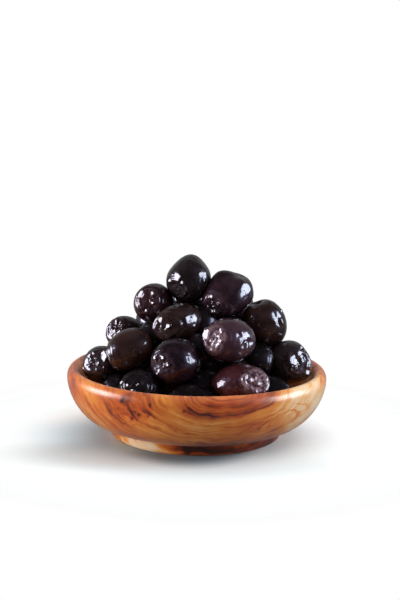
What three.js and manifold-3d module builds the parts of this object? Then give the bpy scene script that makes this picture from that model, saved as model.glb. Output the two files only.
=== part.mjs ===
// A dish of olives: a small turned olive-wood bowl on a low foot, heaped with plump black olives.
// Millimetres, +Z up. The origin is the centre of the foot's flat underside.

import * as THREE from 'three';
import { ConvexGeometry } from 'three/addons/geometries/ConvexGeometry.js';
import { mergeVertices } from 'three/addons/utils/BufferGeometryUtils.js';
import Module from 'manifold-3d';

const wasm = await Module();
wasm.setup();

// The bowl, from the foot up. The belly is widest just below the rounded lip.
const FOOT_RADIUS = 39.4;
const FOOT_EDGE = 1.2;
const FOOT_TOP_RADIUS = 39.8;
const FOOT_TOP = 4.9;
const WALL_START_RADIUS = 41.6;
const WALL_START = 5.8;
const WALL_FULLNESS = 1.8;
const BELLY_RADIUS = 60;
const BELLY_TOP = 27.5;
const LIP_TOP = 31.7;
const LIP_WIDTH = 6;
const INSIDE_FLOOR = 9;
const INSIDE_FLOOR_RADIUS = 26;
const BOWL_SEGMENTS = 60;
const WALL_STEPS = 11;
const LIP_STEPS = 8;
const INSIDE_STEPS = 8;

// The olives, one row each: centre x, y, z, length, width, then the turn (from +X) and the tilt
// of the stem end, in degrees. The outer ones are those in front and those behind.
const OLIVES_IN_FRONT = [
  [-4.3, 0, 72.8, 22, 20.8, -120, -50],
  [13.2, -4, 66.2, 26, 19.5, -148, -31],
  [-20.2, 0, 61.2, 21, 18, -117, 3],
  [-32.9, 6, 44.8, 21, 17, -146, 24],
  [-30.3, -19, 43.2, 23, 18, -167, -30],
  [-42.9, -8, 32.8, 22, 18, -114, 22],
  [-9, -15, 55, 26, 17, -141, -17],
  [-9, -32, 41, 23.5, 20.5, -143, -3],
  [-24, -33, 28.5, 23, 18, -129, 5],
  [14, -28, 50, 26, 20, -143, 2],
  [31, -4, 53.4, 23, 19, -160, 60],
  [41.8, -7, 36.1, 24, 20.2, -58, 5],
  [19, -37, 32, 26.5, 19, -22, 8],
  [33, -21, 24, 22, 18, 150, 0],
  [27, -12, 38, 20, 16, 120, 0],
  [-2, -39, 24, 23, 17, 180, 0],
];
const OLIVES_BEHIND = [
  [40.5, 15, 31, 21, 19, 60, 10],
  [28, 31.5, 31.5, 22, 18, 40, -15],
  [10, 42, 31, 22, 18.5, 175, 10],
  [-11.5, 41.5, 32, 21.5, 18, 120, 5],
  [-29.5, 31.5, 31, 21.5, 19, 60, 0],
  [-41, 12.5, 28, 21, 18, 75, 10],
  [30, 13.5, 46, 22, 19, 20, 20],
  [15.5, 27.5, 45.5, 22, 18, 150, 10],
  [-5, 30.5, 46.5, 22, 18.5, 200, -10],
  [-19.5, 21.5, 48.5, 22, 18.5, 130, 20],
  [-4, 16, 60, 22, 19, 100, 20],
  [15.5, 14, 58.5, 23, 18.5, 40, -15],
];

// Olives of the next layer down, which show only in the gaps: those within the heap, and a half
// ring that lies low in the bowl, behind.
const OLIVES_WITHIN = [
  [2.5, -4, 53.5, 21, 17.5, 80, 0],
  [15.5, -9.5, 48, 21, 17.5, 130, 10],
  [1.5, -18, 42.5, 21, 17, 160, 0],
  [-18, -5, 46, 21, 17, 30, 0],
  [-15, -17, 31, 21, 17.5, 70, 0],
  [-26, -4, 32, 21, 17.5, 110, 0],
  [-34, -20, 23, 21, 17.5, 120, 10],
  [3.5, -26, 27.5, 21, 17, 40, 0],
  [16, -18, 32, 21, 17.5, 20, 0],
  [26, 3.5, 35.5, 21, 17.5, 170, 0],
  [5, 15.5, 46.5, 21, 17, 0, 0],
  [-9, 9, 46.5, 21, 17, 60, 0],
  [13, 22, 31, 21, 17.5, 150, 0],
  [-1, 28, 31, 21, 17.5, 80, 0],
  [-14, 23, 32, 21, 17.5, 20, 0],
  [-24.5, 10, 32.5, 21, 17.5, 140, 0],
];
const RING_COUNT = 6;
const RING_STEP = 36;
const RING_RADIUS = 32.8;
const RING_HEIGHT = 18.8;
const RING_START = 7;
const RING_LENGTH = 20;
const RING_WIDTH = 17.5;

const SHELL_DETAIL = 2;
const WITHIN_DETAIL = 1;
const STEM_END_FULLNESS = 0.05;
const LUMP = 0.02;

// The core stands for the olives that can't be seen: the hull of the outer olives' centres, each
// drawn in towards the heart of the heap, and of a round foot that stays clear of the bowl.
const HEART = new THREE.Vector3(0, 0, 34);
const DRAWN_IN = 12;
const CORE_FOOT_RADIUS = 24;
const CORE_FOOT_HEIGHT = 9.5;
const CORE_SIDES = 24;

// ---- Materials ----

const oliveWood = new THREE.MeshStandardMaterial({ color: 0xd9a066, roughness: 0.45, metalness: 0 });
const oliveSkin = new THREE.MeshStandardMaterial({ color: 0x2a1a1c, roughness: 0.2, metalness: 0 });

// ---- The bowl ----

// The outer wall's radius at a height: it leaves the foot almost level and rises to the belly.
function outerRadius(height) {
  const t = (height - WALL_START) / (BELLY_TOP - WALL_START);
  const swell = Math.pow(1 - Math.pow(1 - t, WALL_FULLNESS), 1 / WALL_FULLNESS);
  return WALL_START_RADIUS + (BELLY_RADIUS - WALL_START_RADIUS) * swell;
}

// The inside's radius at a height: a quarter ellipse from the edge of its floor to the lip.
function innerRadius(height) {
  const t = (height - INSIDE_FLOOR) / (BELLY_TOP - INSIDE_FLOOR);
  const mouth = BELLY_RADIUS - LIP_WIDTH;
  return INSIDE_FLOOR_RADIUS + (mouth - INSIDE_FLOOR_RADIUS) * Math.sqrt(1 - (1 - t) ** 2);
}

// The half-section, from the middle of the underside, round the outside and the lip, to the floor.
function bowlProfile() {
  const points = [
    [0, 0],
    [FOOT_RADIUS - FOOT_EDGE, 0],
    [FOOT_RADIUS, FOOT_EDGE],
    [FOOT_TOP_RADIUS, FOOT_TOP],
    [WALL_START_RADIUS, WALL_START],
  ];
  for (let i = 1; i <= WALL_STEPS; i++) {
    const t = 1 - Math.cos((i / WALL_STEPS) * (Math.PI / 2));
    const height = WALL_START + (BELLY_TOP - WALL_START) * t;
    points.push([outerRadius(height), height]);
  }
  for (let i = 1; i <= LIP_STEPS; i++) {
    const angle = (i / LIP_STEPS) * Math.PI;
    const radius = BELLY_RADIUS - (LIP_WIDTH / 2) * (1 - Math.cos(angle));
    points.push([radius, BELLY_TOP + (LIP_TOP - BELLY_TOP) * Math.sin(angle)]);
  }
  for (let i = 1; i <= INSIDE_STEPS; i++) {
    const t = 1 - Math.sin((i / INSIDE_STEPS) * (Math.PI / 2));
    const height = INSIDE_FLOOR + (BELLY_TOP - INSIDE_FLOOR) * t;
    points.push([innerRadius(height), height]);
  }
  points.push([0, INSIDE_FLOOR]);
  return points.map(([radius, height]) => new THREE.Vector2(radius, height));
}

function bowlGeometry() {
  return new THREE.LatheGeometry(bowlProfile(), BOWL_SEGMENTS).rotateX(Math.PI / 2);
}

// ---- The olives ----

// A plump olive about the origin, with its stem end at +X: an egg with two soft lumps that
// differ from olive to olive.
function oliveGeometry(length, width, index, detail) {
  const geometry = new THREE.IcosahedronGeometry(1, detail);
  const position = geometry.attributes.position;
  const phase = 2.4 * index;
  for (let i = 0; i < position.count; i++) {
    const u = new THREE.Vector3().fromBufferAttribute(position, i);
    const round = Math.atan2(u.z, u.y);
    const across = (1 - u.x * u.x) * Math.sin(2 * round + phase);
    const lump = 1 + LUMP * (across + 0.6 * Math.sin(3 * u.x + phase));
    const fullness = lump * (1 + STEM_END_FULLNESS * u.x);
    const half = width / 2;
    position.setXYZ(i, (length / 2) * u.x * lump, half * u.y * fullness, half * u.z * fullness);
  }
  return geometry;
}

function placedOlive([x, y, z, length, width, turn, tilt], index, detail) {
  const lean = THREE.MathUtils.degToRad(-tilt);
  const swing = THREE.MathUtils.degToRad(turn);
  const facing = new THREE.Matrix4().makeRotationFromEuler(new THREE.Euler(0, lean, swing, 'ZYX'));
  return oliveGeometry(length, width, index, detail).applyMatrix4(facing.setPosition(x, y, z));
}

// A point on a level circle about the bowl's axis, at an angle in degrees.
function around(radius, degrees, height) {
  const angle = THREE.MathUtils.degToRad(degrees);
  return [radius * Math.cos(angle), radius * Math.sin(angle), height];
}

function halfRingOfOlives() {
  const rows = [];
  for (let i = 0; i < RING_COUNT; i++) {
    const degrees = RING_START + i * RING_STEP;
    rows.push([...around(RING_RADIUS, degrees, RING_HEIGHT), RING_LENGTH, RING_WIDTH, degrees + 90, 0]);
  }
  return rows;
}

function coreGeometry(shell) {
  const points = shell.map(([x, y, z]) => {
    const centre = new THREE.Vector3(x, y, z);
    const inward = HEART.clone().sub(centre).setLength(DRAWN_IN);
    return centre.add(inward);
  });
  for (let i = 0; i < CORE_SIDES; i++) {
    const degrees = (i * 360) / CORE_SIDES;
    points.push(new THREE.Vector3(...around(CORE_FOOT_RADIUS, degrees, CORE_FOOT_HEIGHT)));
  }
  return new ConvexGeometry(points);
}

// ---- Joining ----

function toSolid(geometry) {
  const bare = geometry.clone();
  bare.deleteAttribute('normal');
  bare.deleteAttribute('uv');
  const merged = mergeVertices(bare, 1e-4);
  return new wasm.Manifold(new wasm.Mesh({
    numProp: 3,
    vertProperties: merged.attributes.position.array,
    triVerts: new Uint32Array(merged.index.array),
  }));
}

function toGeometry(solid) {
  const mesh = solid.getMesh();
  const geometry = new THREE.BufferGeometry();
  geometry.setAttribute('position', new THREE.BufferAttribute(mesh.vertProperties, 3));
  geometry.setIndex(new THREE.BufferAttribute(mesh.triVerts, 1));
  geometry.computeVertexNormals();
  return geometry;
}

// Joins the olives and the core into one body.
function heapGeometry() {
  const shell = [...OLIVES_IN_FRONT, ...OLIVES_BEHIND];
  const within = [...OLIVES_WITHIN, ...halfRingOfOlives()];
  const core = toSolid(coreGeometry(shell));
  const olives = [...shell, ...within].map((row, index) => {
    const detail = index < shell.length ? SHELL_DETAIL : WITHIN_DETAIL;
    return toSolid(placedOlive(row, index, detail));
  });
  return toGeometry(olives.reduce((heap, olive) => heap.add(olive), core));
}

// ---- The dish ----

const dish = new THREE.Group();

const bowl = new THREE.Mesh(bowlGeometry(), oliveWood);
bowl.name = 'bowl';
dish.add(bowl);

const heap = new THREE.Mesh(heapGeometry(), oliveSkin);
heap.name = 'olives';
dish.add(heap);

export default dish;
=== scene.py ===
"""A dish of olives: a small turned olive-wood bowl on a low foot, heaped with black olives.

Metres, +Z up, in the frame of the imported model. Sizes are named in millimetres and scaled by MM.
The shown side faces -Y.
"""

import math
from itertools import product

import bmesh
import bpy
import numpy as np
from mathutils import Euler, Matrix, Vector


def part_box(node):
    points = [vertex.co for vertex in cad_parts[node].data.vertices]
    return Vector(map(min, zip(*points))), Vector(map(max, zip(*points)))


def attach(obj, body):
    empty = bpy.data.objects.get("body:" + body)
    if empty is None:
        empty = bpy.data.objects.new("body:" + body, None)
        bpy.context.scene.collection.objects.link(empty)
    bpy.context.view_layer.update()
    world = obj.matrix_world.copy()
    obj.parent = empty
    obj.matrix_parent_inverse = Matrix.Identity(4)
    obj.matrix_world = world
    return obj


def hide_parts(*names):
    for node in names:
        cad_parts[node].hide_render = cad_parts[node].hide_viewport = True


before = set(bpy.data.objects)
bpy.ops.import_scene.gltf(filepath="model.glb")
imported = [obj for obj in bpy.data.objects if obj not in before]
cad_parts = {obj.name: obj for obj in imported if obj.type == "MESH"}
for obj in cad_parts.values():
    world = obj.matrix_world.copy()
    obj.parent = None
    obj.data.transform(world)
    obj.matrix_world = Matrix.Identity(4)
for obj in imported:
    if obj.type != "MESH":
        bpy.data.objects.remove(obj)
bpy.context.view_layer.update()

MM = 0.001

# ---- The bowl's half-section, in millimetres ----

# The corners of the foot and of the wall's start are cut off by the sizes named EDGE. The foot's
# lower corner has one more point, FOOT_EDGE_MIDDLE in from its side and up.
BOWL_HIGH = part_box("bowl")[1]
BELLY_RADIUS = BOWL_HIGH[0] / MM
LIP_TOP = BOWL_HIGH[2] / MM
FOOT_RADIUS = 39.4
FOOT_EDGE = 1.2
FOOT_EDGE_MIDDLE = (0.4, 0.5)
FOOT_TOP_RADIUS = 39.8
FOOT_TOP = 4.9
FOOT_TOP_EDGE = 0.3
WALL_START_RADIUS = 41.6
WALL_START = 5.8
WALL_START_EDGE = (0.6, 0.3)
WALL_FULLNESS = 1.8
BELLY_TOP = 27.5
LIP_WIDTH = 6
INSIDE_FLOOR = 9
INSIDE_FLOOR_RADIUS = 26
BOWL_SEGMENTS = 240
WALL_STEPS = 40
LIP_STEPS = 24
INSIDE_STEPS = 20
FOOT_STEPS = 6

# ---- The olives ----

# Centre x, y, z, length, width, then the turn (from +X) and tilt of the stem end in degrees; the
# kind and how light it is; the turn and tilt of the middle of the wrinkled cap; how deep its
# arcs and its crinkles are.
CENTRE = slice(0, 3)
SIZES = slice(3, 5)
FACING = slice(5, 7)
KIND = 7
LOOKS = slice(8, 13)
OLIVES_IN_FRONT = [
    [-4.3, 0, 72.8, 22, 20.8, -120, -50, "black", 0.5, -126, -21, 0.9, 0.6],
    [13.2, -4, 66.2, 26, 19.5, -148, -31, "purple", 0.35, -128, -18, 0.4, 1.0],
    [-20.2, 0, 61.2, 21, 18, -117, 3, "maroon", 0.3, -106, 16, 0.6, 1.0],
    [-32.9, 6, 44.8, 21, 17, -146, 24, "brown", 0.3, -136, 27, 0.6, 0.8],
    [-30.3, -19, 43.2, 23, 18, -167, -30, "brown", 0.5, -170, -25, 0.5, 0.4],
    [-42.9, -8, 32.8, 22, 18, -114, 22, "black", 0.9, -113, 25, 0.4, 1.0],
    [-9, -15, 55, 26, 17, -141, -17, "brown", 0.35, -122, -5, 1.0, 0.5],
    [-9, -32, 41, 23.5, 20.5, -143, -3, "purple", 0.1, -125, 2, 0.5, 0.8],
    [-24, -33, 28.5, 23, 18, -129, 5, "black", 0.05, -107, 25, 1.0, 0.8],
    [14, -28, 50, 26, 20, -143, 2, "purple", 0.9, -129, 12, 0.8, 0.9],
    [31, -4, 53.4, 23, 19, -160, 60, "brown", 0.45, -150, 66, 0.3, 0.3],
    [41.8, -7, 36.1, 24, 20.2, -58, 5, "black", 0.9, -64, 9, 0.8, 0.7],
    [19, -37, 32, 26.5, 19, -22, 8, "maroon", 0.65, -48, 21, 1.0, 1.0],
    [33, -21, 24, 22, 18, 150, 0, "deep", 0.0, 150, 0, 0.5, 0.5],
    [27, -12, 38, 20, 16, 120, 0, "deep", 0.1, 120, 0, 0.5, 0.5],
    [-2, -39, 24, 23, 17, 180, 0, "deep", 0.1, 180, 0, 0.5, 0.5],
]
OLIVES_BEHIND = [
    [40.5, 15, 31, 21, 19, 60, 10, "brown", 0.4, 60, 10, 0.4, 0.8],
    [28, 31.5, 31.5, 22, 18, 40, -15, "purple", 0.6, 40, -15, 0.3, 0.9],
    [10, 42, 31, 22, 18.5, 175, 10, "black", 0.4, 150, 15, 0.6, 0.6],
    [-11.5, 41.5, 32, 21.5, 18, 120, 5, "purple", 0.4, 120, 5, 0.4, 0.8],
    [-29.5, 31.5, 31, 21.5, 19, 60, 0, "brown", 0.5, 95, 10, 0.4, 0.7],
    [-41, 12.5, 28, 21, 18, 75, 10, "black", 0.4, 110, 15, 0.3, 0.9],
    [30, 13.5, 46, 22, 19, 20, 20, "black", 0.5, 20, 20, 0.5, 0.6],
    [15.5, 27.5, 45.5, 22, 18, 150, 10, "brown", 0.3, 120, 10, 0.3, 0.9],
    [-5, 30.5, 46.5, 22, 18.5, 200, -10, "purple", 0.8, 160, 0, 0.6, 0.6],
    [-19.5, 21.5, 48.5, 22, 18.5, 130, 20, "black", 0.4, 130, 20, 0.4, 0.8],
    [-4, 16, 60, 22, 19, 100, 20, "brown", 0.45, 100, 20, 0.4, 0.7],
    [15.5, 14, 58.5, 23, 18.5, 40, -15, "purple", 0.3, 60, 0, 0.5, 0.7],
]

# Olives of the next layer down, without wrinkles: those within the heap, and a half ring that
# lies low in the bowl, behind.
OLIVES_WITHIN = [
    [2.5, -4, 53.5, 21, 17.5, 80, 0],
    [15.5, -9.5, 48, 21, 17.5, 130, 10],
    [1.5, -18, 42.5, 21, 17, 160, 0],
    [-18, -5, 46, 21, 17, 30, 0],
    [-15, -17, 31, 21, 17.5, 70, 0],
    [-26, -4, 32, 21, 17.5, 110, 0],
    [-34, -20, 23, 21, 17.5, 120, 10],
    [3.5, -26, 27.5, 21, 17, 40, 0],
    [16, -18, 32, 21, 17.5, 20, 0],
    [26, 3.5, 35.5, 21, 17.5, 170, 0],
    [5, 15.5, 46.5, 21, 17, 0, 0],
    [-9, 9, 46.5, 21, 17, 60, 0],
    [13, 22, 31, 21, 17.5, 150, 0],
    [-1, 28, 31, 21, 17.5, 80, 0],
    [-14, 23, 32, 21, 17.5, 20, 0],
    [-24.5, 10, 32.5, 21, 17.5, 140, 0],
]
RING_COUNT = 6
RING_STEP = 36
RING_RADIUS = 32.8
RING_HEIGHT = 18.8
RING_START = 7
RING_LENGTH = 20
RING_WIDTH = 17.5
WITHIN_LIGHTNESS = 0.2

# How much fuller the stem end is, and the two soft lumps of each olive: how high they are, how high
# the one along it is beside the one round it, and how far they turn from one olive to the next.
STEM_END_FULLNESS = 0.05
LUMP = 0.02
LUMP_ALONG = 0.6
LUMP_TURN = 2.4

OUTER_RINGS = 66
OUTER_SEGMENTS = 128
WITHIN_RINGS = 26
WITHIN_SEGMENTS = 48
RING_CROWDING = 1.45

# Soft dents, each in the olive of that index in front: turn and tilt of its middle, its radius in
# degrees, its depth, less than zero for a bulge, and how closely it is creased.
DENTS = [
    [0, 60, 78, 26, -0.7, 0],
    [0, 180, 42, 26, 0.6, 0],
    [0, 0, 48, 26, 0.8, 0],
    [1, 155, 68, 20, -1.6, 0],
    [1, 12, 56, 20, 1.3, 0],
    [1, -60, 68, 20, 0.4, 0],
    [1, -8, 22, 14, -0.5, 0],
    [1, 0, -6, 18, -1.0, 0],
    [1, -105, 45, 30, 0.6, 0],
    [9, -32, 1, 14, 0.9, 9],
    [10, 180, 68, 14, 1.5, 0],
    [10, -60, 25, 14, 0.3, 5],
    [11, 5, 30, 28, 1.6, 0],
    [11, 0, -34, 22, -0.8, 0],
]

# Glints: flat facets of the wrinkled skin. For the olive of each index, the place in the camera's
# 400 x 600 frame, the radius in millimetres, and what the facet mirrors to the camera: the azimuth
# and elevation of a softbox or of the unlit front. One without these only lies flat.
LEFT = (-92, 10)
RIGHT = (92, 13)
UNLIT = (138, 8)
FLAT = None
GLINTS = {
    0: [
        (177.5, 277, 2.2, LEFT), (182, 283, 1.1, LEFT), (170, 281, 1.2, LEFT),
        (190, 262, 2.0, FLAT), (200, 274, 1.2, RIGHT), (206, 272, 0.7, RIGHT),
        (202, 281, 1.3, UNLIT),
    ],
    1: [
        (245.5, 287, 2.6, RIGHT), (210.5, 297, 1.3, LEFT), (207, 308, 0.8, LEFT),
        (214, 312, 0.7, LEFT), (211, 304, 0.6, LEFT), (217, 305, 0.6, LEFT),
    ],
    2: [
        (141.5, 295, 2.2, LEFT), (139.5, 304, 1.0, LEFT), (146, 310, 1.0, LEFT),
        (152, 294, 1.1, LEFT), (152.5, 303, 0.9, LEFT),
    ],
    3: [
        (115.5, 321, 0.9, LEFT), (119, 324, 0.7, LEFT), (110, 327, 0.6, LEFT),
        (118.5, 331, 1.0, LEFT),
    ],
    4: [
        (133.4, 350.3, 0.8, LEFT),
    ],
    5: [
        (103.5, 356, 2.4, LEFT), (97.5, 363, 1.0, LEFT), (103, 367, 0.7, LEFT),
        (90, 359, 0.9, LEFT), (84, 368, 0.7, LEFT), (93.5, 354, 0.8, LEFT),
        (89, 365, 0.8, LEFT), (96, 369, 0.7, LEFT),
    ],
    6: [
        (160, 319.5, 1.7, LEFT), (168, 326, 1.3, LEFT), (187.5, 318.5, 1.5, RIGHT),
        (193.5, 325.5, 1.1, RIGHT),
    ],
    7: [
        (154.5, 357, 1.0, LEFT), (162, 358, 1.2, LEFT), (167, 365, 1.0, LEFT),
        (157, 373, 0.8, LEFT), (188, 362, 0.6, RIGHT), (192.5, 358, 1.0, RIGHT),
    ],
    8: [
        (121, 383, 1.0, LEFT), (127, 385, 1.1, LEFT), (132, 390, 0.9, LEFT),
        (138, 384, 0.6, LEFT),
    ],
    9: [
        (206, 334, 2.7, LEFT), (220, 329, 0.9, LEFT), (219.5, 341, 1.0, LEFT),
        (211, 349, 0.9, LEFT), (226, 335, 0.6, RIGHT), (246, 346, 1.8, UNLIT),
        (241, 334, 1.3, UNLIT), (247, 339, 0.8, RIGHT),
    ],
    10: [
        (250.5, 316, 1.5, LEFT), (254, 324, 0.6, LEFT), (272, 325, 2.8, FLAT),
        (280.5, 322, 1.8, UNLIT), (281.5, 311.5, 1.0, RIGHT),
    ],
    11: [
        (294, 360, 3.0, RIGHT), (300, 354, 1.8, RIGHT), (290, 369, 0.9, LEFT),
        (301.5, 347.5, 1.1, RIGHT), (308, 372, 1.4, RIGHT),
    ],
    12: [
        (251.5, 380, 1.2, RIGHT), (260, 383.5, 1.2, RIGHT), (257, 390.5, 0.9, RIGHT),
        (267, 380, 0.9, RIGHT), (218, 386, 1.2, LEFT),
    ],
}

# How far a facet may move the skin, how much of the other relief stays on it, where it fades out in
# shares of its radius, and the share and size of the noise that makes its edge uneven.
GLINT_DEEPEST = 1.6
GLINT_RELIEF = 0.25
GLINT_EDGE = (0.6, 1.35)
GLINT_RAGGED = 0.5
GLINT_RAGGED_SIZE = 1.3

# The wrinkled cap. Places and widths in it are shares of its radius, depths are in millimetres.
# First its radius, how much its outline waves two and three times round, where its folds fade out
# and where its mark for the painted sheen and the crinkles does, and how it sinks in: the depth,
# the share without crinkles, and its slope.
CAP_RADIUS = 5.6
CAP_WAVES = (0.08, 0.05)
CAP_WAVE_TURN = 2.1
CAP_EDGE = (0.75, 1.15)
CAP_MARK_EDGE = (0.8, 1.2)
CAP_DEPTH = 1.4
CAP_DEPTH_PLAIN = 0.4
CAP_SLOPE = (0.3, 0.95)
CAP_SLOPE_UNEVEN = 0.25
# Its folds and the finer pleats on them: depths and widths, how fast they change and how far they
# swirl outwards, and how they widen from the scar: a share there, and how it grows.
FOLD_DEPTH = 0.8
FOLD_STEPS = 2.2
FOLD_SWIRL = 0.9
FOLD_SPREAD = (0.3, 0.9)
FOLD_WARP_RATE = 1.3
PLEAT_DEPTH = 0.12
PLEAT_WIDTH = 0.2
PLEAT_RATE = 1.2
PLEAT_WARP = 0.3
PLEAT_SHARPNESS = 1.5
# Its arcs: the crease at its edge with a roll on each side, each as place, width and depth or
# height, and those outside it, on a part of its round.
CREASE = (1, 0.085, 0.42)
ROLLS = [(0.82, 0.11, 0.24), (1.19, 0.11, 0.168)]
ARCS_OUTSIDE = [(1.38, 0.06, 0.14), (1.72, 0.06, 0.08)]
ARC_WARP = 0.04
ARC_TURN = (1.3, 0.7)
ARC_PART = (0.1, 0.9)
SCAR_RADIUS = 0.7
SCAR_DEPTH = 0.5

# The creases of a dent: their depth, size and shift, and the middle and width of the ring that they
# lie in, as shares of its radius.
DENT_CREASE = 0.35
DENT_CREASE_SIZE = 3
DENT_CREASE_SHIFT = 3.3
DENT_CREASE_RING = (0.6, 0.6)

# The skin all over: the height and size of its swells and ripples, and its creases' depth, size
# and width.
BODY_SWELL = 0.28
BODY_SWELL_SIZE = 9.0
BODY_RIPPLE = 0.05
BODY_RIPPLE_SIZE = 2.6
BODY_CREASE = 0.10
BODY_CREASE_SIZE = 4.5
BODY_CREASE_WIDTH = 0.15

# The core under the olives: the hull of the outer olives' centres, each drawn in towards the
# heart of the heap, and of a round foot.
HEART = (0, 0, 34)
DRAWN_IN = 12
CORE_FOOT_RADIUS = 24
CORE_FOOT_HEIGHT = 9.5
CORE_SIDES = 24

# ---- Olive wood ----

# The figure is a set of rings about a pith that runs front to back, seen end on from the front:
# its place in x and z, how far the rings are stretched sideways, and the dark lines among them by
# radius in millimetres, from 0 to 1.
PITH_X = 15.5
PITH_Z = 36
PITH_STRETCH = 0.6
RING_REACH = 60
RING_LINES = [
    (0, 0.0), (6.8, 0.0), (8.8, 0.2), (9.4, 0.6), (9.9, 0.1), (10.8, 0.0), (12.3, 0.1),
    (13.0, 0.9), (13.5, 0.1), (14.6, 0.0), (18.0, 0.0), (18.8, 0.4), (19.6, 0.0), (23.8, 0.05),
    (24.6, 0.75), (25.4, 0.1), (27.6, 0.0), (28.8, 0.7), (29.6, 0.1), (33.6, 0.0), (34.4, 0.5),
    (35.2, 0.0), (39.4, 0.0), (40.2, 0.5), (41.0, 0.0), (45.0, 0.0), (46.0, 0.5), (47.0, 0.0),
    (53.0, 0.5), (54.0, 0.0),
]
WOOD_COLOURS = [
    (-0.25, (0.93, 0.69, 0.45)),
    (0.0, (0.87, 0.47, 0.18)),
    (0.2, (0.80, 0.27, 0.036)),
    (0.5, (0.56, 0.112, 0.011)),
    (0.75, (0.21, 0.031, 0.006)),
    (1.0, (0.040, 0.009, 0.004)),
]

# Broad patches, some of the figure and some of painted light and shade: where in half sizes they
# start and are full, then the middle and half sizes of each, and how much darker and redder the
# wood is there.
PATCH_EDGE = (1.3, 0.3)
FIGURE_AND_PAINTED_LIGHT_PATCHES = [
    ((15, -58, 27), (22, 14, 5), 0.02, 0.9),
    ((-29, -51, 24), (13, 14, 8), 0.17, 0.7),
    ((-14, -55, 20), (10, 12, 9), -0.03, -0.3),
    ((-3, -57, 17), (13, 14, 8), -0.04, 0.0),
    # Paler at the right: partly pale sapwood, partly a painted sheen.
    ((50, -30, 24), (20, 24, 20), -0.56, -0.25),
    # Darker low on the front wall: painted shade under the belly.
    ((8, -40, 7), (24, 12, 5), 0.16, 0.5),
    # The foot's front, darker: partly its figure, partly painted shade under the overhang.
    ((6, -38, 1), (22, 10, 6), 0.36, 0.3),
    # The foot's left, paler: painted light and sheen from the left.
    ((-26, -30, 1), (20, 16, 5), -0.60, -0.1),
    # The foot's right, darker and redder.
    ((30, -24, 1), (14, 16, 6), 0.34, 0.6),
    # Paler and redder high on the left wall: a painted sheen.
    ((-48, -30, 22), (12, 20, 12), -0.08, 0.2),
    # Darker at the right, inside the dish: painted shade.
    ((40, -16, 20), (13, 18, 9), 0.5, 0.4),
]

# Thin strokes across the rings: both ends, half width, and how much darker the wood is there.
STROKES = [
    ((-46, -37, 27), (-33, -47, 13), 0.9, -0.30),
    ((-52, -27, 25), (-42, -36, 12), 1.1, -0.26),
    ((-26, -50, 13), (-18, -48, 8), 0.8, 0.35),
    ((-36, -46, 24), (-28, -51, 15), 0.7, 0.30),
    ((-22, -55, 27), (-27, -50, 15), 0.6, 0.26),
]

# The dark outline of an eye in the figure, at the right: its middle x and z, half sizes, the
# degrees that it leans, how much narrower it is at its left end, where in y it starts and is full,
# and the share of the eye's size, the width and the strength of each line.
EYE = (35.5, 18.2, 9.2, 4.0)
EYE_LEAN = 14
EYE_TAPER = 0.5
EYE_FRONT = (-20, -30)
EYE_LINES = [(1.0, 0.13, 1.0), (1.55, 0.12, 0.6), (0.5, 0.16, 0.45)]

# A burl at the left: middle and radius of its cloud, the share of it that is full, and how its
# figure swirls. Then the knots, middle and radius, and where in radii each starts and is full.
BURL = ((-29, -51, 23), 13)
BURL_FULL = 0.2
BURL_SWIRL_SIZE = 5
BURL_SWIRL = 9.0
KNOT_EDGE = (2.4, 0.3)
KNOTS = [
    (-27.7, -51.7, 20.5, 0.8),
    (-24.2, -54.1, 22.3, 0.6),
    (-20.3, -55.5, 21.9, 0.6),
    (-19.4, -56.8, 27.5, 0.5),
    (-5.2, -59.6, 25.5, 0.5),
    (-32.5, -50.5, 27.5, 0.6),
    (-4, -39.5, 2.6, 1.3),
]

# How noise bends the figure, as the noise's size and its reach in millimetres.
RING_BEND = (24, 4.0)
RING_WAVE = (7, 1.6)
CLOUD_BEND = (10, 4)
PATCH_BEND = (7, 4.0)
STROKE_BEND = (3.5, 1.6)
EYE_BEND = (7, 1.8)
BURL_BEND = (9, 4)
BLOTCH_BEND = (5, 4.5)

# The noises of the figure, by size in millimetres, and how much slower those that follow the rings
# change along them than across. A TONE is what low and high values do to the tone, and an EDGE or
# BREAKS is the values between which it works, with its least and most effect if they aren't 0 and 1.
ALONG_GRAIN = 0.10
BAND_SIZE = 4.2
BAND_SHIFT = 7.0
BAND_TONE = (0.26, 0.5)
STREAK_SIZE = 1.5
STREAK_TONE = (-0.17, 0.17)
FIBRE_SIZE = 0.45
FIBRE_TONE = (-0.08, 0.08)
CLOUD_SIZE = 13
CLOUD_TONE = (-0.1, 0.1)
LINE_BREAK_SIZE = 8
LINE_BREAKS = (0.4, 0.58, 0.15, 1.0)
LINE_DARKER = 0.42
BLOTCH_SIZE = 6
BLOTCH_EDGE = (0.40, 0.68)
BLOTCH_DARKER = 0.32
KNOT_DARKER = 0.42
RED_SIZE = 12
RED_SHIFT = (40, 0, 0)
RED_EDGE = (0.4, 0.65, 0.0, 0.4)
RED_SHARE = 0.8
RED_TINT = (1.0, 0.70, 0.55)
PORE_SIZE = 0.35
STREAK_RELIEF = 2.0
WOOD_BUMP = (0.04, 0.3)
WOOD_ROUGHNESS = (0.30, 0.45)

# ---- Mesh helpers ----


def make_object(name, points, faces, material):
    """Adds a mesh object at the origin from points in millimetres."""
    mesh = bpy.data.meshes.new(name)
    mesh.from_pydata((np.asarray(points) * MM).tolist(), [], faces)
    mesh.update()
    mesh.polygons.foreach_set("use_smooth", [True] * len(mesh.polygons))
    mesh.materials.append(material)
    made = bpy.data.objects.new(name, mesh)
    bpy.context.scene.collection.objects.link(made)
    return made


def add_attribute(made, name, values):
    made.data.attributes.new(name, "FLOAT", "POINT").data.foreach_set("value", values)


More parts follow.
